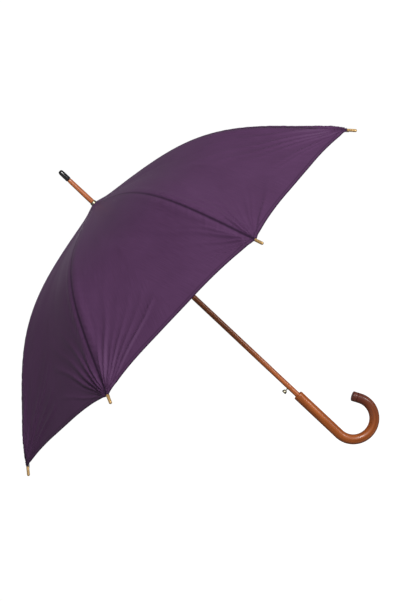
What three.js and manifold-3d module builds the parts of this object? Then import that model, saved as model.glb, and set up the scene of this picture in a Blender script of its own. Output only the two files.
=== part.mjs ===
// Stick umbrella, open. Millimetres, +Z up, ferrule up, origin on the shaft axis at the middle of the grip.
// The canopy is modelled about its apex, and the whole model is then raised by APEX_HEIGHT.
import * as THREE from 'three';
import { mergeVertices } from 'three/addons/utils/BufferGeometryUtils.js';
import Module from 'manifold-3d';

const wasm = await Module();
wasm.setup();

// ---- driving dimensions ----
const RIBS = 8;
const FIRST_RIB = THREE.MathUtils.degToRad(16.15); // turn of rib 1 about +Z, from +X
const GAP = 0.3; // air between pieces that touch

const CLOTH_LENGTH = 600; // apex to rib tip, along the cloth
const SLOPE_TOP = THREE.MathUtils.degToRad(8.5); // fall of the canopy at the apex
const SLOPE_HEM = THREE.MathUtils.degToRad(48); // fall of the canopy at the hem
const BEND_PLACE = 0.505; // share of the length where the slope changes fastest
const BEND_SPREAD = 0.11; // how gently the slope changes
const CLOTH_THICK = 1;
const CLOTH_HOLE = 7.5;
const GORE_SAG = 4; // how far a panel dips between two ribs
const HEM_SCALLOP = 14.4; // how far the hem rises between two tips

const SHAFT_RADIUS = 6;
const SHAFT_BORE = 4.2;
const SHAFT_BOTTOM = -640;

const PIVOT_RADIUS = 10.2; // hinge circle of the ribs, and of the stretchers in the runner
const CROWN_PIVOT_Z = -8;
const RIB_WIDTH = 2.4;
const RIB_HEIGHT = 3.4;
const RIB_DEPTH = 4.2; // rib centre line under the cloth's outer face
const RIB_END = 600;
const JOINT_PLACE = 270; // stretcher joint, along the rib
const EYE_RADIUS = 1.9;
const EYE_HOLE = 1;
const RING_WIRE = 0.6;
const TIP_RADIUS = 3;
const TIP_LENGTH = 16;
const TIP_DEPTH = 2; // of the tip's axis, so that the tip covers the corner of the cloth and the rib's end

const HEAD_RADIUS = 13.5; // slotted heads of the crown and the runner
const HEAD_CORE = 7.6;
const SLOT_WIDTH = RIB_WIDTH + 2 * GAP;

const GRIP_TOP = -602;
const GRIP_RADIUS = 11;
const GRIP_STRAIGHT = 125;
const CROOK_RADIUS = 46;
const CROOK_TURN = THREE.MathUtils.degToRad(205.5);
const CROOK_END = 7.5;
const SOCKET_DEPTH = 40;

const BUTTON_Z = -576;
const FERRULE_TOP = 76.5;
const CAP_TOP = 104;

const APEX_HEIGHT = -GRIP_TOP + GRIP_STRAIGHT / 2;

// ---- canopy curve ----
const TABLE_STEPS = 600;

function slopeAt(share) {
  const ease = (x) => 1 / (1 + Math.exp(-(x - BEND_PLACE) / BEND_SPREAD));
  const eased = (ease(share) - ease(0)) / (ease(1) - ease(0));
  return SLOPE_TOP + (SLOPE_HEM - SLOPE_TOP) * eased;
}

// Radius and height of the cloth at each step along a rib, summed from its slope.
const curveTable = [{ r: 0, z: 0 }];
for (let i = 1; i <= TABLE_STEPS; i++) {
  const slope = slopeAt((i - 0.5) / TABLE_STEPS);
  const step = CLOTH_LENGTH / TABLE_STEPS;
  const last = curveTable[i - 1];
  curveTable.push({ r: last.r + step * Math.cos(slope), z: last.z - step * Math.sin(slope) });
}

// Point at a distance along the canopy curve, set under it by depth. Past the hem it runs on straight.
function curvePoint(distance, depth = 0) {
  const place = Math.min(distance, CLOTH_LENGTH) / CLOTH_LENGTH;
  const i = Math.min(TABLE_STEPS - 1, Math.floor(place * TABLE_STEPS));
  const f = place * TABLE_STEPS - i;
  const slope = slopeAt(place);
  const beyond = Math.max(0, distance - CLOTH_LENGTH);
  const r = THREE.MathUtils.lerp(curveTable[i].r, curveTable[i + 1].r, f) + beyond * Math.cos(slope);
  const z = THREE.MathUtils.lerp(curveTable[i].z, curveTable[i + 1].z, f) - beyond * Math.sin(slope);
  return { r: r - depth * Math.sin(slope), z: z - depth * Math.cos(slope), slope };
}

// ---- linkage, worked out in the plane of a rib ----
const joint = curvePoint(JOINT_PLACE, RIB_DEPTH);
// Equal lengths put the runner's pivots as far below the joints as the crown's are above them.
const RUNNER_PIVOT_Z = 2 * joint.z - CROWN_PIVOT_Z;
const STRETCHER_LENGTH = Math.hypot(joint.r - PIVOT_RADIUS, joint.z - RUNNER_PIVOT_Z);

// ---- helpers ----
const materials = {
  cloth: { color: 0x523756, roughness: 0.55, metalness: 0 },
  steel: { color: 0x8d8b88, roughness: 0.35, metalness: 1 },
  brass: { color: 0xa98658, roughness: 0.3, metalness: 1 },
  wood: { color: 0xa7683f, roughness: 0.3, metalness: 0 },
  darkWood: { color: 0x5c3524, roughness: 0.3, metalness: 0 },
  blackPlastic: { color: 0x121212, roughness: 0.25, metalness: 0 },
  rubber: { color: 0x202020, roughness: 0.8, metalness: 0 },
};

function mesh(name, geometry, finish) {
  const made = new THREE.Mesh(geometry, new THREE.MeshStandardMaterial(materials[finish]));
  made.name = name;
  return made;
}

function toSolid(geometry) {
  const bare = new THREE.BufferGeometry();
  bare.setAttribute('position', geometry.getAttribute('position'));
  if (geometry.index) bare.setIndex(geometry.index);
  const merged = mergeVertices(bare, 1e-4);
  return new wasm.Manifold(new wasm.Mesh({
    numProp: 3,
    vertProperties: new Float32Array(merged.getAttribute('position').array),
    triVerts: new Uint32Array(merged.index.array),
  }));
}

function toGeometry(solid) {
  const { vertProperties, triVerts } = solid.getMesh();
  const geometry = new THREE.BufferGeometry();
  geometry.setAttribute('position', new THREE.BufferAttribute(new Float32Array(vertProperties), 3));
  geometry.setIndex(new THREE.BufferAttribute(new Uint32Array(triVerts), 1));
  geometry.computeVertexNormals();
  return geometry;
}

// Upright cylinder between two heights.
function rod(radius, low, high, sides = 16) {
  const geometry = new THREE.CylinderGeometry(radius, radius, high - low, sides);
  geometry.rotateX(Math.PI / 2);
  return geometry.translate(0, 0, (low + high) / 2);
}

// Cylinder along X between two places at a height.
function crossRod(radius, from, to, height, sides = 10) {
  const geometry = new THREE.CylinderGeometry(radius, radius, to - from, sides);
  geometry.rotateZ(Math.PI / 2);
  return geometry.translate((from + to) / 2, 0, height);
}

function block(sizeX, sizeY, sizeZ, x, y, z) {
  return new THREE.BoxGeometry(sizeX, sizeY, sizeZ).translate(x, y, z);
}

// Solid of revolution about Z from [radius, height] pairs that start and end on the axis.
function turned(profile, sides = 20) {
  const points = profile.map(([r, z]) => new THREE.Vector2(r, z));
  return new THREE.LatheGeometry(points, sides).rotateX(Math.PI / 2);
}

// Closed ring about Z.
function ring(inner, outer, low, high, sides = 20) {
  const bore = toSolid(rod(inner, low - 1, high + 1, sides));
  return toGeometry(toSolid(rod(outer, low, high, sides)).subtract(bore));
}

// Side view of a rib or link, in (radius, height), given its thickness across the plane.
function plate(shape, width) {
  const geometry = new THREE.ExtrudeGeometry(shape, { depth: width, bevelEnabled: false, curveSegments: 3 });
  return geometry.translate(0, 0, -width / 2).rotateX(Math.PI / 2);
}

function roundHole(shape, x, y, radius) {
  shape.holes.push(new THREE.Path(circlePoints(x, y, radius, 8).reverse()));
}

function circlePoints(x, y, radius, count) {
  const points = [];
  for (let i = 0; i < count; i++) {
    const angle = (2 * Math.PI * i) / count;
    points.push(new THREE.Vector2(x + radius * Math.cos(angle), y + radius * Math.sin(angle)));
  }
  return points;
}

// ---- canopy ----
// Point of the cloth at a distance down from the apex and a share across, -1 and 1 being the panels' middles.
function clothPoint(distance, across, depth) {
  const half = Math.PI / RIBS;
  const { r, z, slope } = curvePoint(distance, depth);
  const deepest = GORE_SAG * Math.sin((Math.PI * distance) / CLOTH_LENGTH);
  const dip = (deepest * (1 - Math.cos(Math.PI * across))) / 2;
  const turn = half * across;
  const chord = (r * Math.cos(half)) / Math.cos(half - Math.abs(turn)) - dip * Math.sin(slope);
  const edge = Math.abs(across) === 1 ? (Math.sign(across) * GAP) / 2 / chord : 0;
  return new THREE.Vector3(
    chord * Math.cos(turn - edge),
    chord * Math.sin(turn - edge),
    z - dip * Math.cos(slope),
  );
}

// The cloth carried by one rib: half a panel on each side of the seam.
function clothSector() {
  const along = 14;
  const shares = [-1, -0.78, -0.42, 0, 0.42, 0.78, 1];
  const columns = shares.length;
  const positions = [];
  const index = [];
  for (const depth of [0, CLOTH_THICK]) {
    for (let i = 0; i <= along; i++) {
      for (const across of shares) {
        const hem = CLOTH_LENGTH - HEM_SCALLOP * (1 - (1 - Math.abs(across)) ** 4);
        const distance = CLOTH_HOLE + ((hem - CLOTH_HOLE) * i) / along;
        positions.push(...clothPoint(distance, across, depth));
      }
    }
  }
  const layer = (along + 1) * columns;
  const quad = (a, b, c, d) => index.push(a, b, c, a, c, d);
  for (let i = 0; i < along; i++) {
    for (let j = 0; j < columns - 1; j++) {
      const a = i * columns + j;
      quad(a, a + columns, a + columns + 1, a + 1);
      quad(layer + a, layer + a + 1, layer + a + columns + 1, layer + a + columns);
    }
    const left = i * columns;
    const right = left + columns - 1;
    quad(left, layer + left, layer + left + columns, left + columns);
    quad(right, right + columns, layer + right + columns, layer + right);
  }
  for (let j = 0; j < columns - 1; j++) {
    const hem = along * columns + j;
    quad(j, j + 1, layer + j + 1, layer + j);
    quad(hem, layer + hem, layer + hem + 1, hem + 1);
  }
  const geometry = new THREE.BufferGeometry();
  geometry.setAttribute('position', new THREE.Float32BufferAttribute(positions, 3));
  geometry.setIndex(index);
  geometry.computeVertexNormals();
  return geometry;
}

// ---- frame ----
// Centre line of a rib: it leaves the crown low and rises to lie just under the cloth.
function ribPoint(distance) {
  const start = curvePoint(PIVOT_RADIUS);
  const rise = 1 - THREE.MathUtils.smoothstep(distance, PIVOT_RADIUS, 50);
  return curvePoint(distance, RIB_DEPTH + (start.z - CROWN_PIVOT_Z - RIB_DEPTH) * rise);
}

function ribGeometry() {
  const places = [];
  const steps = 20;
  for (let i = 0; i <= steps; i++) places.push(THREE.MathUtils.lerp(14, RIB_END, i / steps));
  const side = (distance, sign) => {
    const { r, z, slope } = ribPoint(distance);
    const half = (sign * RIB_HEIGHT) / 2;
    return new THREE.Vector2(r + half * Math.sin(slope), z + half * Math.cos(slope));
  };
  const outline = [
    ...places.map((p) => side(p, 1)),
    ...places.map((p) => side(p, -1)).reverse(),
  ];
  const eye = { x: PIVOT_RADIUS, y: CROWN_PIVOT_Z };
  for (const turn of [250, 215, 180, 145, 110]) {
    const angle = THREE.MathUtils.degToRad(turn);
    const x = eye.x + EYE_RADIUS * Math.cos(angle);
    outline.push(new THREE.Vector2(x, eye.y + EYE_RADIUS * Math.sin(angle)));
  }
  const shape = new THREE.Shape(outline.reverse());
  roundHole(shape, eye.x, eye.y, EYE_HOLE);
  roundHole(shape, joint.r, joint.z, EYE_HOLE + 0.1);
  return plate(shape, RIB_WIDTH);
}

// The stretcher lies along X from its runner eye; its far end forks round the rib and carries the rivet.
function stretcherGeometry() {
  const cheek = 1;
  const fork = RIB_WIDTH / 2 + GAP + cheek;
  const reach = STRETCHER_LENGTH;
  const body = new THREE.Shape();
  body.absarc(0, 0, EYE_RADIUS, Math.PI / 2, (3 * Math.PI) / 2);
  body.lineTo(reach - 13, -EYE_RADIUS + 0.3);
  body.lineTo(reach - 13, EYE_RADIUS - 0.3);
  roundHole(body, 0, 0, EYE_HOLE);
  const side = new THREE.Shape();
  side.moveTo(reach - 14, -EYE_RADIUS + 0.3);
  side.absarc(reach, 0, EYE_RADIUS, -Math.PI / 2, Math.PI / 2);
  side.lineTo(reach - 14, EYE_RADIUS - 0.3);
  const across = new THREE.CylinderGeometry(0.8, 0.8, 2 * fork, 8).translate(reach, 0, 0);
  let solid = toSolid(plate(body, RIB_WIDTH));
  solid = solid.add(toSolid(block(5, 2 * fork, 2.8, reach - 14, 0, 0)));
  for (const sign of [-1, 1]) {
    solid = solid.add(toSolid(plate(side, cheek).translate(0, sign * (fork - cheek / 2), 0)));
  }
  return toGeometry(solid.add(toSolid(across)));
}

function tipGeometry() {
  const profile = [[0, 0], [TIP_RADIUS, 0]];
  for (const turn of [0, 30, 60]) {
    const angle = THREE.MathUtils.degToRad(turn);
    profile.push([TIP_RADIUS * Math.cos(angle), TIP_LENGTH - TIP_RADIUS + TIP_RADIUS * Math.sin(angle)]);
  }
  return turned([...profile, [0, TIP_LENGTH]], 10);
}

// Slotted head: a disc with one slot for each link and a groove for the ring wire that the links turn on.
function slottedHead(low, high, pivotZ, bore) {
  let solid = toSolid(rod(HEAD_RADIUS, low, high, 24)).subtract(toSolid(rod(bore, low - 1, high + 1, 16)));
  const reach = HEAD_RADIUS - HEAD_CORE + 2;
  for (let k = 0; k < RIBS; k++) {
    const slot = block(reach, SLOT_WIDTH, high - low + 2, HEAD_CORE + reach / 2, 0, (low + high) / 2);
    solid = solid.subtract(toSolid(slot.rotateZ(ribTurn(k))));
  }
  const groove = new THREE.TorusGeometry(PIVOT_RADIUS, RING_WIRE + GAP, 4, 24);
  return solid.subtract(toSolid(groove.translate(0, 0, pivotZ)));
}

function ringWire(pivotZ) {
  return new THREE.TorusGeometry(PIVOT_RADIUS, RING_WIRE, 4, 24).translate(0, 0, pivotZ);
}

function ribTurn(k) {
  return FIRST_RIB + (k * 2 * Math.PI) / RIBS;
}

// ---- shaft, spring and catch ----
const CROWN_LOW = -13;
const CROWN_HIGH = -3.6;
const RUNNER_HIGH = RUNNER_PIVOT_Z + 8;
const RUNNER_LOW = RUNNER_PIVOT_Z - 50;
const SPRING_PIN_Z = -21;
const STOP_RING_LOW = RUNNER_HIGH + 5;
const SLIDER_HIGH = RUNNER_HIGH - 16;
const SLIDER_LOW = SLIDER_HIGH - 14;
const RUNNER_TRAVEL = 380;
const FIN_WIDTH = 1.6;

function shaftGeometry() {
  let solid = toSolid(rod(SHAFT_RADIUS, SHAFT_BOTTOM, 0, 24));
  solid = solid.subtract(toSolid(rod(SHAFT_BORE, SHAFT_BOTTOM - 1, 1, 16)));
  const slotLow = SLIDER_LOW - RUNNER_TRAVEL - 2;
  const slotHigh = SLIDER_HIGH + 2;
  const slot = block(FIN_WIDTH + 0.8, 8, slotHigh - slotLow, 0, SHAFT_RADIUS, (slotLow + slotHigh) / 2);
  solid = solid.subtract(toSolid(slot));
  solid = solid.subtract(toSolid(crossRod(1 + GAP, -9, 9, SPRING_PIN_Z)));
  return toGeometry(solid.subtract(toSolid(crossRod(1.8, -9, 0, BUTTON_Z))));
}

function runnerGeometry() {
  const bore = SHAFT_RADIUS + 0.4;
  let solid = slottedHead(RUNNER_HIGH - 14, RUNNER_HIGH, RUNNER_PIVOT_Z, bore);
  const tube = toSolid(rod(9, RUNNER_LOW, RUNNER_HIGH - 13.5, 24))
    .subtract(toSolid(rod(bore, RUNNER_LOW - 1, RUNNER_HIGH, 20)));
  const lip = toSolid(rod(11, RUNNER_LOW, RUNNER_LOW + 5, 24))
    .subtract(toSolid(rod(bore, RUNNER_LOW - 1, RUNNER_LOW + 6, 20)));
  solid = solid.add(tube).add(lip);
  const middle = (SLIDER_HIGH + SLIDER_LOW) / 2;
  const window = block(FIN_WIDTH + 0.8, 8, SLIDER_HIGH - SLIDER_LOW + 1, 0, 8, middle);
  return toGeometry(solid.subtract(toSolid(window)));
}

function sliderGeometry() {
  const fin = block(FIN_WIDTH, 8, SLIDER_HIGH - SLIDER_LOW, 0, 4.4, (SLIDER_HIGH + SLIDER_LOW) / 2);
  return toGeometry(toSolid(rod(3.8, SLIDER_LOW, SLIDER_HIGH, 14)).add(toSolid(fin)));
}

class CoilCurve extends THREE.Curve {
  constructor(radius, low, high, turns) {
    super();
    Object.assign(this, { radius, low, high, turns });
  }

  getPoint(share, target = new THREE.Vector3()) {
    const angle = 2 * Math.PI * this.turns * share;
    return target.set(
      this.radius * Math.cos(angle),
      this.radius * Math.sin(angle),
      THREE.MathUtils.lerp(this.low, this.high, share),
    );
  }
}

function swept(curve, radius, sides, steps) {
  const options = { steps, extrudePath: curve, bevelEnabled: false };
  return new THREE.ExtrudeGeometry(new THREE.Shape(circlePoints(0, 0, radius, sides)), options);
}

function springGeometry() {
  const turns = 16;
  const coil = new CoilCurve(3, SLIDER_HIGH + 1, SPRING_PIN_Z - 2, turns);
  return swept(coil, 0.55, 3, turns * 7);
}

function buttonGeometry() {
  const knob = turned([[0, 0], [3.4, 0], [4.2, 1], [5.4, 5.6], [4.6, 7], [0, 7.4]], 16);
  knob.rotateY(-Math.PI / 2).translate(-10.7, 0, BUTTON_Z);
  return toGeometry(toSolid(knob).add(toSolid(crossRod(1.5, -12, -2.4, BUTTON_Z, 12))));
}

// Flat spring in the bore that pushes the button out: a bowed strip standing on the far wall.
function buttonSpringGeometry() {
  const bow = new THREE.Shape();
  bow.moveTo(3.2, -14);
  bow.quadraticCurveTo(-5.6, 0, 3.2, 14);
  bow.lineTo(2.6, 14);
  bow.quadraticCurveTo(-6.6, 0, 2.6, -14);
  return plate(bow, 2.4).translate(0, 0, BUTTON_Z);
}

// ---- handle ----
class CrookCurve extends THREE.Curve {
  // Down the grip, round the crook towards +X, and on straight for its short end.
  getPoint(share, target = new THREE.Vector3()) {
    const arc = CROOK_RADIUS * CROOK_TURN;
    const distance = share * (GRIP_STRAIGHT + arc + CROOK_END);
    const bendZ = GRIP_TOP - GRIP_STRAIGHT;
    if (distance <= GRIP_STRAIGHT) return target.set(0, 0, GRIP_TOP - distance);
    const turn = Math.min(distance - GRIP_STRAIGHT, arc) / CROOK_RADIUS;
    const on = Math.max(0, distance - GRIP_STRAIGHT - arc);
    return target.set(
      CROOK_RADIUS * (1 - Math.cos(turn)) + on * Math.sin(turn),
      0,
      bendZ - CROOK_RADIUS * Math.sin(turn) - on * Math.cos(turn),
    );
  }
}

const crook = new CrookCurve();

function handleGeometry() {
  const grip = toSolid(swept(crook, GRIP_RADIUS, 12, 34));
  const socket = toSolid(rod(SHAFT_RADIUS + GAP, GRIP_TOP - SOCKET_DEPTH, GRIP_TOP + 1, 20));
  return toGeometry(grip.subtract(socket));
}

function endCapMesh() {
  const profile = [[0, 0], [GRIP_RADIUS, 0], [GRIP_RADIUS, 7], [9.8, 9.6], [7, 10.9], [0, 11.2]];
  const cap = mesh('handle_end_cap', turned(profile, 20), 'darkWood');
  const heading = crook.getTangent(1);
  cap.position.copy(crook.getPoint(1)).addScaledVector(heading, GAP);
  cap.quaternion.setFromUnitVectors(new THREE.Vector3(0, 0, 1), heading);
  return cap;
}

// ---- assembly ----
const umbrella = new THREE.Group();
umbrella.position.z = APEX_HEIGHT;

function ribGroup(k) {
  const group = new THREE.Group();
  group.rotation.z = ribTurn(k);
  const number = k + 1;
  group.add(mesh(`canopy_sector_${number}`, clothSector(), 'cloth'));
  group.add(mesh(`rib_${number}`, ribGeometry(), 'steel'));

  const end = curvePoint(RIB_END + GAP, TIP_DEPTH);
  const tip = mesh(`rib_tip_${number}`, tipGeometry(), 'brass');
  tip.position.set(end.r, 0, end.z);
  tip.rotation.y = Math.PI / 2 + end.slope;
  group.add(tip);

  const stretcher = mesh(`stretcher_${number}`, stretcherGeometry(), 'steel');
  stretcher.position.set(PIVOT_RADIUS, 0, RUNNER_PIVOT_Z);
  stretcher.rotation.y = -Math.atan2(joint.z - RUNNER_PIVOT_Z, joint.r - PIVOT_RADIUS);
  group.add(stretcher);
  return group;
}

for (let k = 0; k < RIBS; k++) umbrella.add(ribGroup(k));

const crown = toGeometry(slottedHead(CROWN_LOW, CROWN_HIGH, CROWN_PIVOT_Z, SHAFT_RADIUS + GAP));
const collar = [[4.3, 0.3], [8.5, 0.3], [8.5, 1.4], [6.9, 2.4], [6.6, 7.8], [4.3, 7.8], [4.3, 0.3]];
const ferrule = [
  [0, -16], [3.9, -16], [3.9, 8.1], [5.6, 8.1], [5.6, 20], [5.1, FERRULE_TOP - 4],
  [4.7, FERRULE_TOP], [3, FERRULE_TOP], [3, FERRULE_TOP + 12], [0, FERRULE_TOP + 12],
];
const capSkin = [
  [0, FERRULE_TOP + 12.5], [3.4, FERRULE_TOP + 12.5], [3.4, FERRULE_TOP + GAP], [5.6, FERRULE_TOP + GAP],
  [5.8, FERRULE_TOP + 14], [5.5, CAP_TOP - 4], [3.6, CAP_TOP], [0, CAP_TOP],
];

umbrella.add(
  mesh('shaft', shaftGeometry(), 'wood'),
  mesh('ferrule', turned(ferrule), 'wood'),
  mesh('ferrule_cap', turned(capSkin), 'blackPlastic'),
  mesh('ferrule_collar', turned(collar), 'steel'),
  mesh('crown', crown, 'blackPlastic'),
  mesh('crown_ring_wire', ringWire(CROWN_PIVOT_Z), 'steel'),
  mesh('runner', runnerGeometry(), 'blackPlastic'),
  mesh('runner_ring_wire', ringWire(RUNNER_PIVOT_Z), 'steel'),
  mesh('runner_slider', sliderGeometry(), 'steel'),
  mesh('opening_spring', springGeometry(), 'steel'),
  mesh('spring_pin', crossRod(1, -5.8, 5.8, SPRING_PIN_Z), 'steel'),
  mesh('stop_ring', ring(SHAFT_RADIUS + GAP, 8.2, STOP_RING_LOW, STOP_RING_LOW + 2), 'steel'),
  mesh('stop_buffer', ring(SHAFT_RADIUS + GAP, 8.8, RUNNER_HIGH + GAP, STOP_RING_LOW - GAP), 'rubber'),
  mesh('push_button', buttonGeometry(), 'brass'),
  mesh('button_spring', buttonSpringGeometry(), 'steel'),
  mesh('handle', handleGeometry(), 'wood'),
  endCapMesh(),
);

export default umbrella;
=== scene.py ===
"""Open stick umbrella: sewn cloth canopy on eight ribs, lacquered wood shaft, ferrule and crook handle."""

import math

import bmesh
import bpy
import numpy as np
from mathutils import Matrix, Vector


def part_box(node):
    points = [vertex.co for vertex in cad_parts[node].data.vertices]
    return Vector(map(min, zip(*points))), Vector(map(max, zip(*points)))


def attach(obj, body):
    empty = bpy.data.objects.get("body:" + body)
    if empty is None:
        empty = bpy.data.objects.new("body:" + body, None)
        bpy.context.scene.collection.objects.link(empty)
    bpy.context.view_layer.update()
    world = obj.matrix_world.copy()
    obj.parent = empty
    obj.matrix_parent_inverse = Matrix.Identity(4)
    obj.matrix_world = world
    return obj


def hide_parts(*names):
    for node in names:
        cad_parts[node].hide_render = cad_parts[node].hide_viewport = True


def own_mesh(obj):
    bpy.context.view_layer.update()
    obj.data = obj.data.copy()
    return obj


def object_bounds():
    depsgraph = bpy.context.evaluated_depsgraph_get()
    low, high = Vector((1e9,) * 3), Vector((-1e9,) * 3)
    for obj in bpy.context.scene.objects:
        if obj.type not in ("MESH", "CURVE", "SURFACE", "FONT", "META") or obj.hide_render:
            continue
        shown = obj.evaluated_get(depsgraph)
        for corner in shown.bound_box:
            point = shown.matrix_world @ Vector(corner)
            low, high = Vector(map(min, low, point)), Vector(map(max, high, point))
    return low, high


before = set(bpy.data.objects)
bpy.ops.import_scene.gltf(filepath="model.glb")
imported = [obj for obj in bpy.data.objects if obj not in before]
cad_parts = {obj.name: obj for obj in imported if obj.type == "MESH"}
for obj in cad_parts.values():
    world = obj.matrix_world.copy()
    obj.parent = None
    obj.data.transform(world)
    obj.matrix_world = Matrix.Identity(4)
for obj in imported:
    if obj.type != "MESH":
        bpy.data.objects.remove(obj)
cad_low, cad_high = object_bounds()

# ---- driving dimensions, in metres ----
RIBS = 8
FIRST_RIB = math.radians(16.15)
APEX = 0.6645  # height of the canopy's apex above the grip
CLOTH_LENGTH = 0.600
SLOPE_TOP = math.radians(8.5)
SLOPE_HEM = math.radians(48)
BEND_PLACE = 0.505
BEND_SPREAD = 0.11
CLOTH_HOLE = 0.0072
GORE_SAG = 0.004
HEM_SCALLOP = 0.0144
CLOTH_THICK = 0.0004
CURVE_STEPS = 1200

SHAFT_RADIUS = 0.006
SHAFT_BORE = 0.0042
GRIP_TOP = APEX - 0.602
GRIP_RADIUS = 0.011
GRIP_STRAIGHT = 0.125
CROOK_RADIUS = 0.046
CROOK_TURN = math.radians(205.5)
CROOK_END = 0.0075
HANDLE_LENGTH = GRIP_STRAIGHT + CROOK_RADIUS * CROOK_TURN + CROOK_END  # along its centre line
FERRULE_TOP = 0.0765  # above the apex, as CAP_TOP is
CAP_TOP = 0.104
GAP = 0.0003  # between pieces that would touch


# ---- camera and studio ----
def camera():
    """Long lens, nearly square to the shaft, turned so that the shaft runs down to the right."""
    turn, tilt, roll = math.radians(1.1317), math.radians(-3.775), math.radians(-46.778)
    forward = Vector((math.sin(turn) * math.cos(tilt), math.cos(turn) * math.cos(tilt), math.sin(tilt)))
    right = forward.cross(Vector((0, 0, 1))).normalized()
    up = right.cross(forward)
    across = math.cos(roll) * right + math.sin(roll) * up
    above = math.cos(roll) * up - math.sin(roll) * right
    data = bpy.data.cameras.new("camera")
    data.sensor_width = 36
    data.lens = 77.72
    made = bpy.data.objects.new("camera", data)
    bpy.context.collection.objects.link(made)
    turned = Matrix((across, above, -forward)).transposed().to_4x4()
    made.matrix_world = Matrix.Translation((-0.0505, -2.7979, APEX - 0.1217)) @ turned
    bpy.context.scene.camera = made


def area_light(name, place, target, size, power, glossy=True):
    """Round lamp at a place, facing the target; glossy says whether it shows in reflections."""
    data = bpy.data.lights.new(name, "AREA")
    data.shape = "DISK"
    data.size = size
    data.energy = power
    made = bpy.data.objects.new(name, data)
    made.visible_glossy = glossy
    bpy.context.collection.objects.link(made)
    aim = Vector(target) - Vector(place)
    made.matrix_world = Matrix.Translation(place) @ aim.to_track_quat("-Z", "Y").to_matrix().to_4x4()


def studio():
    """White surroundings, a pale floor well below, and four broad lights; the one behind casts no
    highlight."""
    bpy.context.scene.view_settings.view_transform = "Standard"
    world = bpy.data.worlds.new("studio")
    world.use_nodes = True
    tree = world.node_tree
    seen = add(tree, "ShaderNodeLightPath").outputs["Is Camera Ray"]
    tree.links.new(spread(tree, seen, 0, 1, 0.2, 1.02), tree.nodes["Background"].inputs["Strength"])
    tree.nodes["Background"].inputs["Color"].default_value = (1, 1, 1, 1)
    bpy.context.scene.world = world
    middle = (0, 0, APEX - 0.25)
    area_light("key", (1.25, -3.1, APEX + 0.95), middle, 0.9, 98)
    area_light("fill", (-2.4, -2.2, APEX + 0.2), middle, 1.6, 3)
    area_light("low", (2.3, -2.0, APEX - 0.9), (0.1, 0, APEX - 0.45), 0.6, 20)
    area_light("back", (-0.6, 3.0, APEX + 0.8), middle, 1.6, 55, glossy=False)
    bpy.ops.mesh.primitive_plane_add(size=60, location=(0, 0, cad_low[2] - 4.0))
    floor = bpy.context.object
    floor.name = "floor"
    finish, shader, tree = new_material("floor_white")
    shader.inputs["Base Color"].default_value = (0.6, 0.6, 0.6, 1)
    shader.inputs["Roughness"].default_value = 0.9
    shader.inputs["Emission Color"].default_value = (1, 1, 1, 1)
    seen = add(tree, "ShaderNodeLightPath").outputs["Is Camera Ray"]
    tree.links.new(seen, shader.inputs["Emission Strength"])
    floor.data.materials.append(finish)


# ---- node helpers ----
def new_material(name):
    made = bpy.data.materials.new(name)
    made.use_nodes = True
    tree = made.node_tree
    return made, tree.nodes["Principled BSDF"], tree


def add(tree, kind, inputs=None, **settings):
    """A node of that kind with its settings; each input is set to a value or joined to another node's
    output."""
    node = tree.nodes.new(kind)
    for key, value in settings.items():
        setattr(node, key, value)
    for key, value in (inputs or {}).items():
        if isinstance(value, bpy.types.NodeSocket):
            tree.links.new(value, node.inputs[key])
        else:
            node.inputs[key].default_value = value
    return node


def blend_colours(tree, share, low, high):
    node = add(tree, "ShaderNodeMix", data_type="RGBA")
    for socket, value in ((node.inputs[0], share), (node.inputs[6], low), (node.inputs[7], high)):
        if isinstance(value, bpy.types.NodeSocket):
            tree.links.new(value, socket)
        else:
            socket.default_value = value
    return node.outputs[2]


def maths(tree, operation, *values):
    node = add(tree, "ShaderNodeMath", operation=operation)
    for socket, value in zip(node.inputs, values):
        if isinstance(value, bpy.types.NodeSocket):
            tree.links.new(value, socket)
        else:
            socket.default_value = value
    return node.outputs[0]


def spread(tree, value, low, high, to_low=0.0, to_high=1.0):
    node = add(tree, "ShaderNodeMapRange", {"Value": value, "From Min": low, "From Max": high,
                                            "To Min": to_low, "To Max": to_high})
    return node.outputs["Result"]


def group(name, inputs, outputs):
    """Empty shader node group with named float, colour or vector sockets."""
    made = bpy.data.node_groups.new(name, "ShaderNodeTree")
    kinds = {"float": "NodeSocketFloat", "colour": "NodeSocketColor", "vector": "NodeSocketVector"}
    for title, kind, value in inputs:
        socket = made.interface.new_socket(title, in_out="INPUT", socket_type=kinds[kind])
        if value is not None:
            socket.default_value = value
    for title, kind in outputs:
        made.interface.new_socket(title, in_out="OUTPUT", socket_type=kinds[kind])
    return made, made.nodes.new("NodeGroupInput").outputs, made.nodes.new("NodeGroupOutput").inputs


def put(tree, made, **inputs):
    node = tree.nodes.new("ShaderNodeGroup")
    node.node_tree = made
    for key, value in inputs.items():
        name = key.replace("_", " ")
        if isinstance(value, bpy.types.NodeSocket):
            tree.links.new(value, node.inputs[name])
        else:
            node.inputs[name].default_value = value
    return node.outputs


def wood_grain_group():
    """Long fibres and pores: noise squeezed across the grain, which runs along the vector's Z."""
    made, given, out = group(
        "wood_grain",
        [("Vector", "vector", None), ("Dark", "colour", None), ("Light", "colour", None)],
        [("Colour", "colour"), ("Pores", "float")],
    )
    long_fibres = add(made, "ShaderNodeMapping", {"Vector": given["Vector"], "Scale": (1, 1, 0.05)})
    bands = add(made, "ShaderNodeTexNoise", {"Vector": long_fibres.outputs[0], "Scale": 260.0, "Detail": 5.0,
                                             "Roughness": 0.55, "Distortion": 0.2})
    fine = add(made, "ShaderNodeTexNoise", {"Vector": long_fibres.outputs[0], "Scale": 1100.0, "Detail": 1.0})
    share = spread(made, bands.outputs["Fac"], 0.32, 0.68)
    streaks = spread(made, fine.outputs["Fac"], 0.62, 0.72)
    colour = blend_colours(made, share, given["Dark"], given["Light"])
    pored = blend_colours(made, maths(made, "MULTIPLY", streaks, 0.35), colour, given["Dark"])
    made.links.new(pored, out["Colour"])
    made.links.new(streaks, out["Pores"])
    return made


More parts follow.
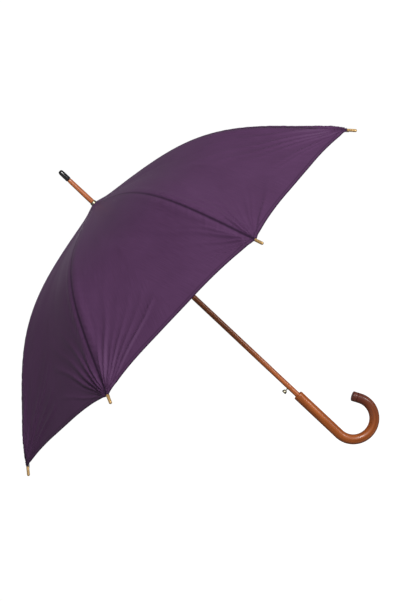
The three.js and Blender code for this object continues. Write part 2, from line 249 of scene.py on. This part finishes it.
def wear_group():
    """Cloudy marks in roughness: faint smears and fine scratches."""
    made, given, out = group("handling_marks", [("Vector", "vector", None), ("Base", "float", 0.3),
                                               ("Amount", "float", 0.1)], [("Roughness", "float")])
    smears = add(made, "ShaderNodeTexNoise", {"Vector": given["Vector"], "Scale": 90.0, "Detail": 4.0})
    scratches = add(made, "ShaderNodeTexNoise", {"Vector": given["Vector"], "Scale": 900.0, "Detail": 1.0})
    both = maths(made, "ADD", smears.outputs["Fac"], maths(made, "MULTIPLY", scratches.outputs["Fac"], 0.4))
    centred = maths(made, "SUBTRACT", both, 0.7)
    made.links.new(maths(made, "MULTIPLY_ADD", centred, given["Amount"], given["Base"]), out["Roughness"])
    return made


def object_place(tree):
    return add(tree, "ShaderNodeTexCoord").outputs["Object"]


# ---- finishes ----
def lacquered_wood(name, dark, light, painted_end_shade=None):
    """Stained beech under clear lacquer, with its grain along Z. With painted_end_shade the grain follows the
    piece's own path instead, and painted shade darkens the colour towards the crook's end."""
    made, shader, tree = new_material(name)
    place = object_place(tree)
    along = None
    if painted_end_shade is not None:
        route = add(tree, "ShaderNodeUVMap", uv_map="route").outputs[0]
        parts = add(tree, "ShaderNodeSeparateXYZ", {"Vector": route})
        around = maths(tree, "MULTIPLY", parts.outputs["X"], 2 * math.pi)
        along = parts.outputs["Y"]
        place = add(tree, "ShaderNodeCombineXYZ", {
            "X": maths(tree, "MULTIPLY", maths(tree, "COSINE", around), GRIP_RADIUS),
            "Y": maths(tree, "MULTIPLY", maths(tree, "SINE", around), GRIP_RADIUS),
            "Z": maths(tree, "MULTIPLY", along, 0.3),
        }).outputs[0]
    grain = put(tree, WOOD_GRAIN, Vector=place, Dark=(*dark, 1), Light=(*light, 1))
    colour = grain["Colour"]
    if along is not None:
        # painted shade: the colour darkens towards the crook's end
        share = spread(tree, along, 0.66, 0.97)
        colour = blend_colours(tree, share, colour, (*painted_end_shade, 1))
    tree.links.new(colour, shader.inputs["Base Color"])
    tree.links.new(put(tree, HANDLING_MARKS, Vector=place, Base=0.36, Amount=0.08)["Roughness"],
                   shader.inputs["Roughness"])
    bump = add(tree, "ShaderNodeBump", {"Height": grain["Pores"], "Distance": 0.00001, "Strength": 0.25})
    tree.links.new(bump.outputs[0], shader.inputs["Normal"])
    shader.inputs["Specular IOR Level"].default_value = 0.4
    shader.inputs["Coat Weight"].default_value = 0.25
    shader.inputs["Coat Roughness"].default_value = 0.2
    return made


def metal(name, dark, light, rough, metallic=1.0):
    """Plated metal with fine brushing along Z and handling marks."""
    made, shader, tree = new_material(name)
    place = object_place(tree)
    lines = add(tree, "ShaderNodeMapping", {"Vector": place, "Scale": (1, 1, 0.04)})
    noise = add(tree, "ShaderNodeTexNoise", {"Vector": lines.outputs[0], "Scale": 2200.0, "Detail": 2.0})
    streaked = blend_colours(tree, noise.outputs["Fac"], (*dark, 1), (*light, 1))
    tree.links.new(streaked, shader.inputs["Base Color"])
    tree.links.new(put(tree, HANDLING_MARKS, Vector=place, Base=rough, Amount=0.25)["Roughness"],
                   shader.inputs["Roughness"])
    bump = add(tree, "ShaderNodeBump", {"Height": noise.outputs["Fac"], "Distance": 0.00001, "Strength": 0.3})
    tree.links.new(bump.outputs[0], shader.inputs["Normal"])
    shader.inputs["Metallic"].default_value = metallic
    return made


def moulded(name, colour, rough, pebble):
    """Moulded plastic or rubber with a slight skin texture."""
    made, shader, tree = new_material(name)
    place = object_place(tree)
    skin = add(tree, "ShaderNodeTexNoise", {"Vector": place, "Scale": 1400.0, "Detail": 2.0})
    lighter = tuple(min(1, c * 1.6 + 0.004) for c in colour)
    mottled = blend_colours(tree, skin.outputs["Fac"], (*colour, 1), (*lighter, 1))
    tree.links.new(mottled, shader.inputs["Base Color"])
    tree.links.new(put(tree, HANDLING_MARKS, Vector=place, Base=rough, Amount=0.15)["Roughness"],
                   shader.inputs["Roughness"])
    bump = add(tree, "ShaderNodeBump", {"Height": skin.outputs["Fac"], "Distance": pebble, "Strength": 0.5})
    tree.links.new(bump.outputs[0], shader.inputs["Normal"])
    return made


def polyester():
    """Fine plain-weave polyester. The weave follows the piece's own cloth map, in metres of cloth; painted
    shade darkens the seam and the hem's edge, with a thin darker line inside the hem, and a painted sheen
    makes the colour greyer towards the apex."""
    made, shader, tree = new_material("purple_polyester")
    cloth = add(tree, "ShaderNodeUVMap", uv_map="cloth").outputs[0]
    parts = add(tree, "ShaderNodeSeparateXYZ", {"Vector": cloth})
    threads = []
    for axis, pitch in (("X", 0.00042), ("Y", 0.00036)):
        wave = maths(tree, "SINE", maths(tree, "MULTIPLY", parts.outputs[axis], 2 * math.pi / pitch))
        threads.append(wave)
    weave = maths(tree, "MULTIPLY", threads[0], threads[1])
    slubs = add(tree, "ShaderNodeMapping", {"Vector": cloth, "Scale": (900, 26, 1)})
    slub = add(tree, "ShaderNodeTexNoise", {"Vector": slubs.outputs[0], "Scale": 1.0, "Detail": 3.0})
    cloud = add(tree, "ShaderNodeTexNoise", {"Vector": cloth, "Scale": 7.0, "Detail": 3.0})
    mixed = maths(tree, "ADD", maths(tree, "MULTIPLY", slub.outputs["Fac"], 0.5),
                  maths(tree, "MULTIPLY", cloud.outputs["Fac"], 0.5))
    dark, light = (0.070, 0.027, 0.074, 1), (0.094, 0.038, 0.101, 1)
    base = blend_colours(tree, spread(tree, mixed, 0.35, 0.65), dark, light)
    # painted sheen: the colour is greyer towards the apex, for the light the weave catches there
    apex = spread(tree, parts.outputs["Y"], 0.02, 0.36, 0.6, 0.0)
    with_painted_sheen = blend_colours(tree, apex, base, (0.130, 0.072, 0.145, 1))
    # painted shade along the seam and at the hem's edge, and a thin line inside the hem, from the canopy's
    # mark
    edge = add(tree, "ShaderNodeAttribute", attribute_name="seam_shade_and_hem_lines").outputs["Fac"]
    colour = blend_colours(tree, maths(tree, "MULTIPLY", edge, 0.85), with_painted_sheen, (0.014, 0.005, 0.017, 1))
    tree.links.new(colour, shader.inputs["Base Color"])
    tree.links.new(spread(tree, slub.outputs["Fac"], 0.2, 0.8, 0.50, 0.58), shader.inputs["Roughness"])
    height = maths(tree, "ADD", weave, maths(tree, "MULTIPLY", slub.outputs["Fac"], 0.6))
    bump = add(tree, "ShaderNodeBump", {"Height": height, "Distance": 0.00003, "Strength": 0.25})
    tree.links.new(bump.outputs[0], shader.inputs["Normal"])
    shader.inputs["Specular IOR Level"].default_value = 0.22
    shader.inputs["Specular Tint"].default_value = (0.95, 0.72, 1.0, 1)
    shader.inputs["Sheen Weight"].default_value = 0.04
    shader.inputs["Sheen Roughness"].default_value = 0.35
    shader.inputs["Sheen Tint"].default_value = (0.75, 0.55, 0.8, 1)
    return made


# ---- mesh helpers ----
def grid_piece(name, points, finish, closed_across=False, uv=None, uv_name="route"):
    """Mesh of a grid of points, rows along and columns across; closed_across joins the last column to the
    first."""
    rows, columns = points.shape[:2]
    index = np.arange(rows * columns).reshape(rows, columns)
    following = np.roll(index, -1, axis=1) if closed_across else index[:, 1:]
    here = index if closed_across else index[:, :-1]
    quads = np.stack([here[:-1], here[1:], following[1:], following[:-1]], -1).reshape(-1, 4)
    mesh = bpy.data.meshes.new(name)
    mesh.from_pydata(points.reshape(-1, 3), [], quads)
    if uv is not None:
        layer = mesh.uv_layers.new(name=uv_name)
        layer.data.foreach_set("uv", uv.reshape(-1, 2)[quads.ravel()].astype(np.float32).ravel())
    mesh.polygons.foreach_set("use_smooth", np.ones(len(quads), bool))
    mesh.materials.append(finish)
    mesh.update()
    made = bpy.data.objects.new(name, mesh)
    bpy.context.collection.objects.link(made)
    return made


def close_and_weld(piece, sharp=math.radians(40)):
    """Welds points that coincide, turns the faces outwards and keeps hard corners crisp."""
    work = bmesh.new()
    work.from_mesh(piece.data)
    bmesh.ops.remove_doubles(work, verts=work.verts, dist=1e-7)
    bmesh.ops.dissolve_degenerate(work, edges=work.edges, dist=1e-7)
    bmesh.ops.recalc_face_normals(work, faces=work.faces)
    for edge in work.edges:
        edge.smooth = len(edge.link_faces) == 2 and edge.calc_face_angle(0) < sharp
    work.to_mesh(piece.data)
    work.free()


def rounded(profile, radius, steps=5):
    """Profile of (r, z) corners with each inner corner replaced by a curve that is tangent to both its
    sides."""
    corners = np.array(profile, float)
    out = [corners[0]]
    for before, corner, after in zip(corners, corners[1:], corners[2:]):
        cut = min(radius, 0.45 * np.linalg.norm(before - corner), 0.45 * np.linalg.norm(after - corner))
        first = corner + cut * (before - corner) / np.linalg.norm(before - corner)
        last = corner + cut * (after - corner) / np.linalg.norm(after - corner)
        t = np.linspace(0, 1, steps)[:, None]
        out.extend((1 - t) ** 2 * first + 2 * t * (1 - t) * corner + t**2 * last)
    return np.array([*out, corners[-1]])


def revolved(name, profile, finish, sides=64, place=None):
    """Surface of revolution: the profile's radius and height carried round Z, then set by a matrix."""
    profile = np.asarray(profile, float)
    turn = np.linspace(0, 2 * math.pi, sides, endpoint=False)
    points = np.stack([
        profile[:, :1] * np.cos(turn), profile[:, :1] * np.sin(turn), np.repeat(profile[:, 1:], sides, 1),
    ], -1)
    made = grid_piece(name, points, finish, closed_across=True)
    close_and_weld(made)
    if place is not None:
        made.data.transform(place)
        made.data.update()
    return made


def lifted(z):
    """Moves a piece up from the origin by z."""
    return Matrix.Translation((0, 0, z))


# ---- canopy ----
def slope_at(share):
    """Slope of the rib at a share of its length: an S-curve from the apex slope to the hem slope."""

    def ease(x):
        return 1 / (1 + np.exp(-(x - BEND_PLACE) / BEND_SPREAD))

    return SLOPE_TOP + (SLOPE_HEM - SLOPE_TOP) * (ease(share) - ease(0)) / (ease(1) - ease(0))


CURVE_SHARE = np.linspace(0, 1, CURVE_STEPS + 1)
CURVE_SLOPE = slope_at((CURVE_SHARE[1:] + CURVE_SHARE[:-1]) / 2)
CURVE_RADIUS = np.concatenate([[0], np.cumsum(np.cos(CURVE_SLOPE))]) * CLOTH_LENGTH / CURVE_STEPS
CURVE_HEIGHT = -np.concatenate([[0], np.cumsum(np.sin(CURVE_SLOPE))]) * CLOTH_LENGTH / CURVE_STEPS


def rib_turn(k):
    return FIRST_RIB + k * 2 * math.pi / RIBS


def tip_creases(distance, sideways, number):
    """Creases that fan from a rib tip, and short puckers slanting off the outer half of the seam.

    Each crease is a bell in the angle about the tip, at an uneven place, that swells a little way in and
    fades with its own length; the puckers are two beating sines along the seam that die away sideways."""
    chance = np.random.default_rng(40 + number)
    back = np.maximum(CLOTH_LENGTH - distance, 1e-4)
    reach = np.hypot(back, sideways)
    angle = np.arctan2(sideways, back) + 0.018 * np.sin(reach * 45 + number)
    relief = np.zeros_like(reach)
    for side in (-1, 1):
        places = np.linspace(0.17, 1.1, 6) + chance.uniform(-0.06, 0.06, 6)
        for place in places:
            width = chance.uniform(0.026, 0.048)
            length = chance.uniform(0.028, 0.055)
            height = chance.uniform(0.0018, 0.0048)
            fade = (reach / length) * np.exp(1 - reach / length)
            relief += height * fade * np.exp(-(((side * angle - place) / width) ** 2))
    far = np.abs(sideways)
    phase = np.where(sideways >= 0, 0.0, 1.7)
    aslant = distance - 1.1 * far
    beat = np.sin(aslant * 410 + 1.3 * number + phase) + np.sin(aslant * 263 + 2.9 * number - phase)
    outer = np.clip((distance / CLOTH_LENGTH - 0.42) / 0.3, 0, 1)
    relief += 0.00032 * beat * outer * np.exp(-far / 0.016) * np.clip(far / 0.003, 0, 1)
    return relief


def canopy_sector(k, finish):
    """The cloth one rib carries, from the middle of one panel over the seam to the middle of the next.

    Along it runs the rib's curve, whose slope eases from apex to hem. Across it each point lies on the
    straight chord between two ribs, less a dip that is a raised cosine of the share across. On that lie the
    pull up to the ferrule, a bell about the apex; the seam's groove, a narrow bell, between two wider bells
    that stand up beside it; the tip creases; slow ripples, a product of two sines; and the doubled cloth of
    the hem, a low step."""
    rows, columns = 200, 121
    half = math.pi / RIBS
    across = np.linspace(-1, 1, columns)
    across *= 0.35 + 0.65 * np.abs(across)
    hem = CLOTH_LENGTH - HEM_SCALLOP * (1 - (1 - np.abs(across)) ** 4)
    down = np.linspace(0, 1, rows)[:, None]
    down = down * (1.35 - 0.35 * down)
    distance = CLOTH_HOLE + (hem[None, :] - CLOTH_HOLE) * down
    share = distance / CLOTH_LENGTH
    slope = slope_at(share)
    radius = np.interp(share, CURVE_SHARE, CURVE_RADIUS)
    height = np.interp(share, CURVE_SHARE, CURVE_HEIGHT)
    turn = half * across[None, :] + 0 * share
    chord = radius * math.cos(half) / np.cos(half - np.abs(turn))
    sideways = chord * np.sin(turn)
    width = radius * math.sin(half)

    dip = GORE_SAG * (1 - np.cos(math.pi * across))[None, :] / 2 * np.sin(math.pi * share)
    relief = -dip
    relief += 0.0048 * np.exp(-((distance / 0.026) ** 2))
    outer = np.clip((share - 0.25) / 0.5, 0, 1)
    off_tip = np.clip(np.hypot(CLOTH_LENGTH - distance, sideways) / 0.02 - 0.2, 0, 1)
    relief -= off_tip * (0.0006 + 0.0009 * outer) * np.exp(-((sideways / (0.0016 + 0.004 * outer)) ** 2))
    relief += off_tip * 0.0022 * outer * np.exp(-(((np.abs(sideways) - 0.012) / 0.008) ** 2))
    join = np.clip((1 - np.abs(across)) / 0.25, 0, 1)[None, :] ** 2
    relief += tip_creases(distance, sideways, k) * np.clip(join * 4, 0, 1)
    slow = np.sin(9 * share + 2.1 * k + 3 * np.abs(across)) * np.sin(5.2 * across + 1.3 * k)
    relief += 0.0007 * slow * join * np.clip(width / 0.08, 0, 1)
    hem_gap = hem[None, :] - distance
    relief += 0.0003 * (hem_gap < 0.007) * np.clip(share * 2, 0, 1)

    out = chord + relief * np.sin(slope)
    heading = turn + rib_turn(k)
    points = np.stack([
        out * np.cos(heading), out * np.sin(heading), APEX + height + relief * np.cos(slope),
    ], -1)
    uv = np.stack([sideways, distance], -1)
    made = grid_piece(f"canopy_cloth_{k + 1}", points, finish, uv=uv, uv_name="cloth")
    # Darker marks on the cloth: painted shade along the seam, growing towards the hem as its groove deepens,
    # and at the hem's folded edge; also a thin line along the inner edge of the doubled hem.
    seam_shade_and_hem_lines = 1.1 * np.exp(-((hem_gap / 0.0024) ** 2))
    seam_shade_and_hem_lines += 0.55 * np.exp(-(((hem_gap - 0.0075) / 0.0007) ** 2))
    seam_shade_and_hem_lines += (0.35 + 0.8 * outer) * np.exp(-((sideways / 0.0026) ** 2))
    mark = made.data.attributes.new("seam_shade_and_hem_lines", "FLOAT", "POINT")
    mark.data.foreach_set("value", np.clip(seam_shade_and_hem_lines, 0, 1).astype(np.float32).ravel())

    edges = made.data.edges
    ends = np.zeros(len(edges) * 2, int)
    edges.foreach_get("vertices", ends)
    row, column = np.divmod(ends.reshape(-1, 2), columns)
    rim = (row == 0).all(1) | (row == rows - 1).all(1) | (column == 0).all(1) | (column == columns - 1).all(1)
    sharp = made.data.attributes.new("sharp_edge", "BOOLEAN", "EDGE")
    sharp.data.foreach_set("value", rim)
    skin = made.modifiers.new("thickness", "SOLIDIFY")
    skin.thickness = CLOTH_THICK
    skin.offset = -1

    body = f"rib_{k + 1}"
    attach(made, body)
    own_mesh(made)
    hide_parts(f"canopy_sector_{k + 1}")


# ---- wood ----
def shaft(finish):
    """Tube with a slot: at each height the wall's outline is an arc outside and one inside, and its two
    ends meet except along the slot, where they stand apart by the slot's width."""
    low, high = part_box("shaft")
    slot_low, slot_high, slot_half = APEX - 0.5218, APEX - 0.1238, 0.0012
    heights = np.array([low[2], low[2] + 0.0005, slot_low - 0.0001, slot_low, slot_high, slot_high + 0.0001,
                        high[2] - 0.0005, high[2]])
    opened = np.array([0, 0, 0, 1, 1, 0, 0, 0]) * slot_half + 1e-6
    steps = np.linspace(0, 1, 60)
    outlines = []
    for z, half_gap in zip(heights, opened):
        ring = []
        for r, t in ((SHAFT_RADIUS, steps), (SHAFT_BORE, steps[::-1])):
            start = math.asin(half_gap / r)
            angle = math.pi / 2 + start + (2 * math.pi - 2 * start) * t
            ring.append(np.stack([r * np.cos(angle), r * np.sin(angle), np.full_like(t, z)], -1))
        outlines.append(np.concatenate(ring))
    made = grid_piece("shaft_tube", np.array(outlines), finish, closed_across=True)
    cap_ends(made, len(heights), 2 * len(steps))
    close_and_weld(made)
    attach(made, "root")
    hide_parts("shaft")


def cap_ends(piece, rows, columns):
    """Joins the outer and inner arcs of a tube's first and last outline."""
    work = bmesh.new()
    work.from_mesh(piece.data)
    work.verts.ensure_lookup_table()
    for row in (0, rows - 1):
        ring = [work.verts[row * columns + i] for i in range(columns)]
        for i in range(columns // 2 - 1):
            work.faces.new((ring[i], ring[i + 1], ring[columns - 2 - i], ring[columns - 1 - i]))
    work.to_mesh(piece.data)
    work.free()


def crook_path(distance):
    """Centre line of the handle: down the grip, round an arc towards +X, then straight on."""
    arc = CROOK_RADIUS * CROOK_TURN
    turn = np.clip(distance - GRIP_STRAIGHT, 0, arc) / CROOK_RADIUS
    on = np.maximum(0, distance - GRIP_STRAIGHT - arc)
    straight = np.minimum(distance, GRIP_STRAIGHT)
    x = CROOK_RADIUS * (1 - np.cos(turn)) + on * np.sin(turn)
    z = GRIP_TOP - straight - CROOK_RADIUS * np.sin(turn) - on * np.cos(turn)
    return x, z, turn


def handle(finish):
    """Round bar carried along the crook's centre line, its radius rounded off at the top and closed at both
    ends; the top goes down inside as the socket that holds the shaft."""
    edge, bevel, depth, rings = 0.0016, 0.0004, 0.04, 150
    total = HANDLE_LENGTH
    body = np.linspace(edge, total - bevel, rings)
    quarter = np.linspace(0, math.pi / 2, 7)
    round_over = edge * (1 - np.cos(quarter))
    top_radius = GRIP_RADIUS - edge + edge * np.sin(quarter)
    socket = SHAFT_RADIUS + GAP
    places = np.concatenate([[depth, depth, 0, 0], round_over, body[1:], [total, total]])
    radii = np.concatenate([[0, socket, socket, socket + bevel], top_radius, np.full(rings - 1, GRIP_RADIUS),
                            [GRIP_RADIUS - bevel, 0]])
    x, z, turn = crook_path(places)
    sides = 72
    around = np.linspace(0, 2 * math.pi, sides + 1)
    outward = radii[:, None] * np.cos(around)
    points = np.stack([
        x[:, None] + outward * np.cos(turn)[:, None],
        radii[:, None] * np.sin(around),
        z[:, None] + outward * np.sin(turn)[:, None],
    ], -1)
    share = places / total
    uv = np.stack([np.broadcast_to(around / (2 * math.pi), outward.shape),
                   np.broadcast_to(share[:, None], outward.shape)], -1)
    made = grid_piece("crook_handle", points, finish, uv=uv)
    close_and_weld(made)
    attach(made, "root")
    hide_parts("handle")


def handle_end(finish):
    """Turned end of the crook with a softly domed face: a rounded profile carried round the centre line's own
    direction where the crook ends."""
    x, z, turn = crook_path(np.array([HANDLE_LENGTH + GAP]))
    heading = Vector((math.sin(turn[0]), 0, -math.cos(turn[0])))
    place = Matrix.Translation((x[0], 0, z[0])) @ heading.to_track_quat("Z", "Y").to_matrix().to_4x4()
    profile = [(0, 0), (GRIP_RADIUS, 0), (GRIP_RADIUS, 0.0095), (0.0082, 0.0108), (0, 0.0112)]
    made = revolved("crook_end", rounded(profile, 0.0016), finish, place=place)
    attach(made, "root")
    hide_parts("handle_end_cap")


def ferrule(finish):
    """Wooden stick above the cloth: a profile that swells over the collar and narrows to a peg for the cap,
    carried round the shaft's axis."""
    top = FERRULE_TOP
    profile = rounded([
        (0, -0.016), (0.0039, -0.016), (0.0039, 0.0081), (0.0056, 0.0081), (0.0056, 0.020),
        (0.0051, top - 0.004), (0.0047, top), (0.003, top), (0.003, top + 0.012), (0, top + 0.012),
    ], 0.0006)
    made = revolved("ferrule_stick", profile, finish, place=lifted(APEX))
    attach(made, "root")
    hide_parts("ferrule")


def ferrule_cap(finish):
    """Black end with a rounded tip, hollow over the ferrule's peg: an outer and an inner profile joined at
    the foot and carried round the shaft's axis."""
    low = FERRULE_TOP
    profile = rounded([
        (0, low + 0.0125), (0.0034, low + 0.0125), (0.0034, low + GAP), (0.0054, low + GAP),
        (0.0058, low + 0.003), (0.0058, low + 0.016), (0.0055, 0.1005), (0.0036, CAP_TOP), (0, CAP_TOP),
    ], 0.0012)
    made = revolved("ferrule_end", profile, finish, place=lifted(APEX))
    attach(made, "root")
    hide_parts("ferrule_cap")


def ferrule_collar(finish):
    """Closed ring: the profile runs round and back to its start, and is carried round the shaft's axis."""
    profile = [(0.0043, GAP), (0.0085, GAP), (0.0085, 0.0014), (0.0069, 0.0026), (0.0066, 0.0072),
               (0.0062, 0.0078), (0.0043, 0.0078), (0.0043, GAP)]
    made = revolved("ferrule_ring", rounded(profile, 0.0005), finish, place=lifted(APEX))
    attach(made, "root")
    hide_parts("ferrule_collar")


# ---- small metal pieces ----
def rib_tip(k, finish):
    """Plain tube over a rib's end and the cloth's corner: a straight side closed by a quarter circle and
    turned in at its mouth, carried round the line of the rib's end and set a little below the cloth."""
    width, length, depth = 0.003, 0.016, 0.002
    angle = np.linspace(0, math.pi / 2, 12)
    profile = [(0, -0.004), (0.0026, -0.004), (0.0029, -0.0036), (width, -0.0028)]
    profile += list(zip(width * np.cos(angle), length - width + width * np.sin(angle)))
    profile[-1] = (0, length)
    hem_slope = float(slope_at(1.0))
    radius = CURVE_RADIUS[-1] + GAP * math.cos(hem_slope) - depth * math.sin(hem_slope)
    height = CURVE_HEIGHT[-1] - GAP * math.sin(hem_slope) - depth * math.cos(hem_slope)
    place = (Matrix.Translation((0, 0, APEX)) @ Matrix.Rotation(rib_turn(k), 4, "Z")
             @ Matrix.Translation((radius, 0, height)) @ Matrix.Rotation(math.pi / 2 + hem_slope, 4, "Y"))
    made = revolved(f"rib_end_{k + 1}", profile, finish, sides=32, place=place)
    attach(made, f"rib_{k + 1}")
    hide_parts(f"rib_tip_{k + 1}")


def push_button(finish):
    """Round knob on its stem: a rounded profile carried round the X axis."""
    knob = [(0, 0.0083), (0.0015, 0.0083), (0.0015, 0), (0.0034, 0), (0.0042, -0.0010), (0.0054, -0.0056),
            (0.0046, -0.0070), (0, -0.0074)]
    place = Matrix.Translation((-0.0107, 0, APEX - 0.576)) @ Matrix.Rotation(math.pi / 2, 4, "Y")
    made = revolved("release_button", rounded(knob, 0.0009), finish, sides=40, place=place)
    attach(made, "button")
    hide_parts("push_button")


def opening_spring(finish):
    """Round wire along a helix in the shaft: centre on a circle that climbs evenly, section square to it."""
    low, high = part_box("opening_spring")
    wire, coil, turns, sides = 0.00055, 0.003, 16, 10
    steps = turns * 36 + 1
    t = np.linspace(0, 2 * math.pi * turns, steps)
    start, end = low[2] + wire, high[2] - wire
    centre = np.stack([coil * np.cos(t), coil * np.sin(t), np.linspace(start, end, steps)], -1)
    outward = np.stack([np.cos(t), np.sin(t), 0 * t], -1)
    climb = (end - start) / (2 * math.pi * turns)
    along = np.stack([-coil * np.sin(t), coil * np.cos(t), 0 * t + climb], -1)
    along /= np.linalg.norm(along, axis=1, keepdims=True)
    side = np.cross(along, outward)
    angle = np.linspace(0, 2 * math.pi, sides, endpoint=False)
    centre = np.concatenate([centre[:1], centre, centre[-1:]])
    outward, side = (np.concatenate([v[:1], v, v[-1:]]) for v in (outward, side))
    size = np.concatenate([[0], np.full(steps, wire), [0]])
    points = centre[:, None] + size[:, None, None] * (
        np.cos(angle)[None, :, None] * outward[:, None] + np.sin(angle)[None, :, None] * side[:, None])
    made = grid_piece("pull_spring", points, finish, closed_across=True)
    close_and_weld(made)
    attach(made, "root")
    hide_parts("opening_spring")


def paint(node, finish):
    """Gives a CAD node its finish in every slot."""
    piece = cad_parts[node]
    for place in piece.material_slots:
        place.link = "DATA"
        place.material = finish


# ---- the umbrella ----
WOOD_GRAIN = wood_grain_group()
HANDLING_MARKS = wear_group()

camera()
studio()

purple = polyester()
orange_wood = lacquered_wood("stained_wood", (0.30, 0.072, 0.016), (0.58, 0.165, 0.045))
# the grip's colour carries painted shade towards the crook's end
grip_wood = lacquered_wood("grip_wood", (0.25, 0.056, 0.009), (0.49, 0.128, 0.026),
                           painted_end_shade=(0.12, 0.026, 0.014))
# painted shade: the crook's end piece is coloured darker than the grip, for the shade on its end face
end_wood_painted_shade = lacquered_wood("end_wood_painted_shade", (0.095, 0.022, 0.013), (0.150, 0.040, 0.024))
steel = metal("plated_steel", (0.42, 0.42, 0.42), (0.62, 0.61, 0.60), 0.32)
aged = metal("aged_brass", (0.20, 0.19, 0.13), (0.36, 0.34, 0.25), 0.38)
golden = metal("golden_tips", (0.50, 0.30, 0.11), (0.72, 0.46, 0.19), 0.34, metallic=0.5)
gloss_black = moulded("gloss_black", (0.006, 0.006, 0.007), 0.18, 0.000004)
black_rubber = moulded("buffer_rubber", (0.016, 0.016, 0.016), 0.75, 0.00002)

for k in range(RIBS):
    canopy_sector(k, purple)
    rib_tip(k, golden)
    paint(f"rib_{k + 1}", steel)
    paint(f"stretcher_{k + 1}", steel)

shaft(orange_wood)
handle(grip_wood)
handle_end(end_wood_painted_shade)
ferrule(orange_wood)
ferrule_cap(gloss_black)
ferrule_collar(aged)
push_button(aged)
opening_spring(steel)

for node in ("crown_ring_wire", "runner_ring_wire", "runner_slider", "spring_pin", "stop_ring",
             "button_spring"):
    paint(node, steel)
for node in ("crown", "runner"):
    paint(node, gloss_black)
paint("stop_buffer", black_rubber)
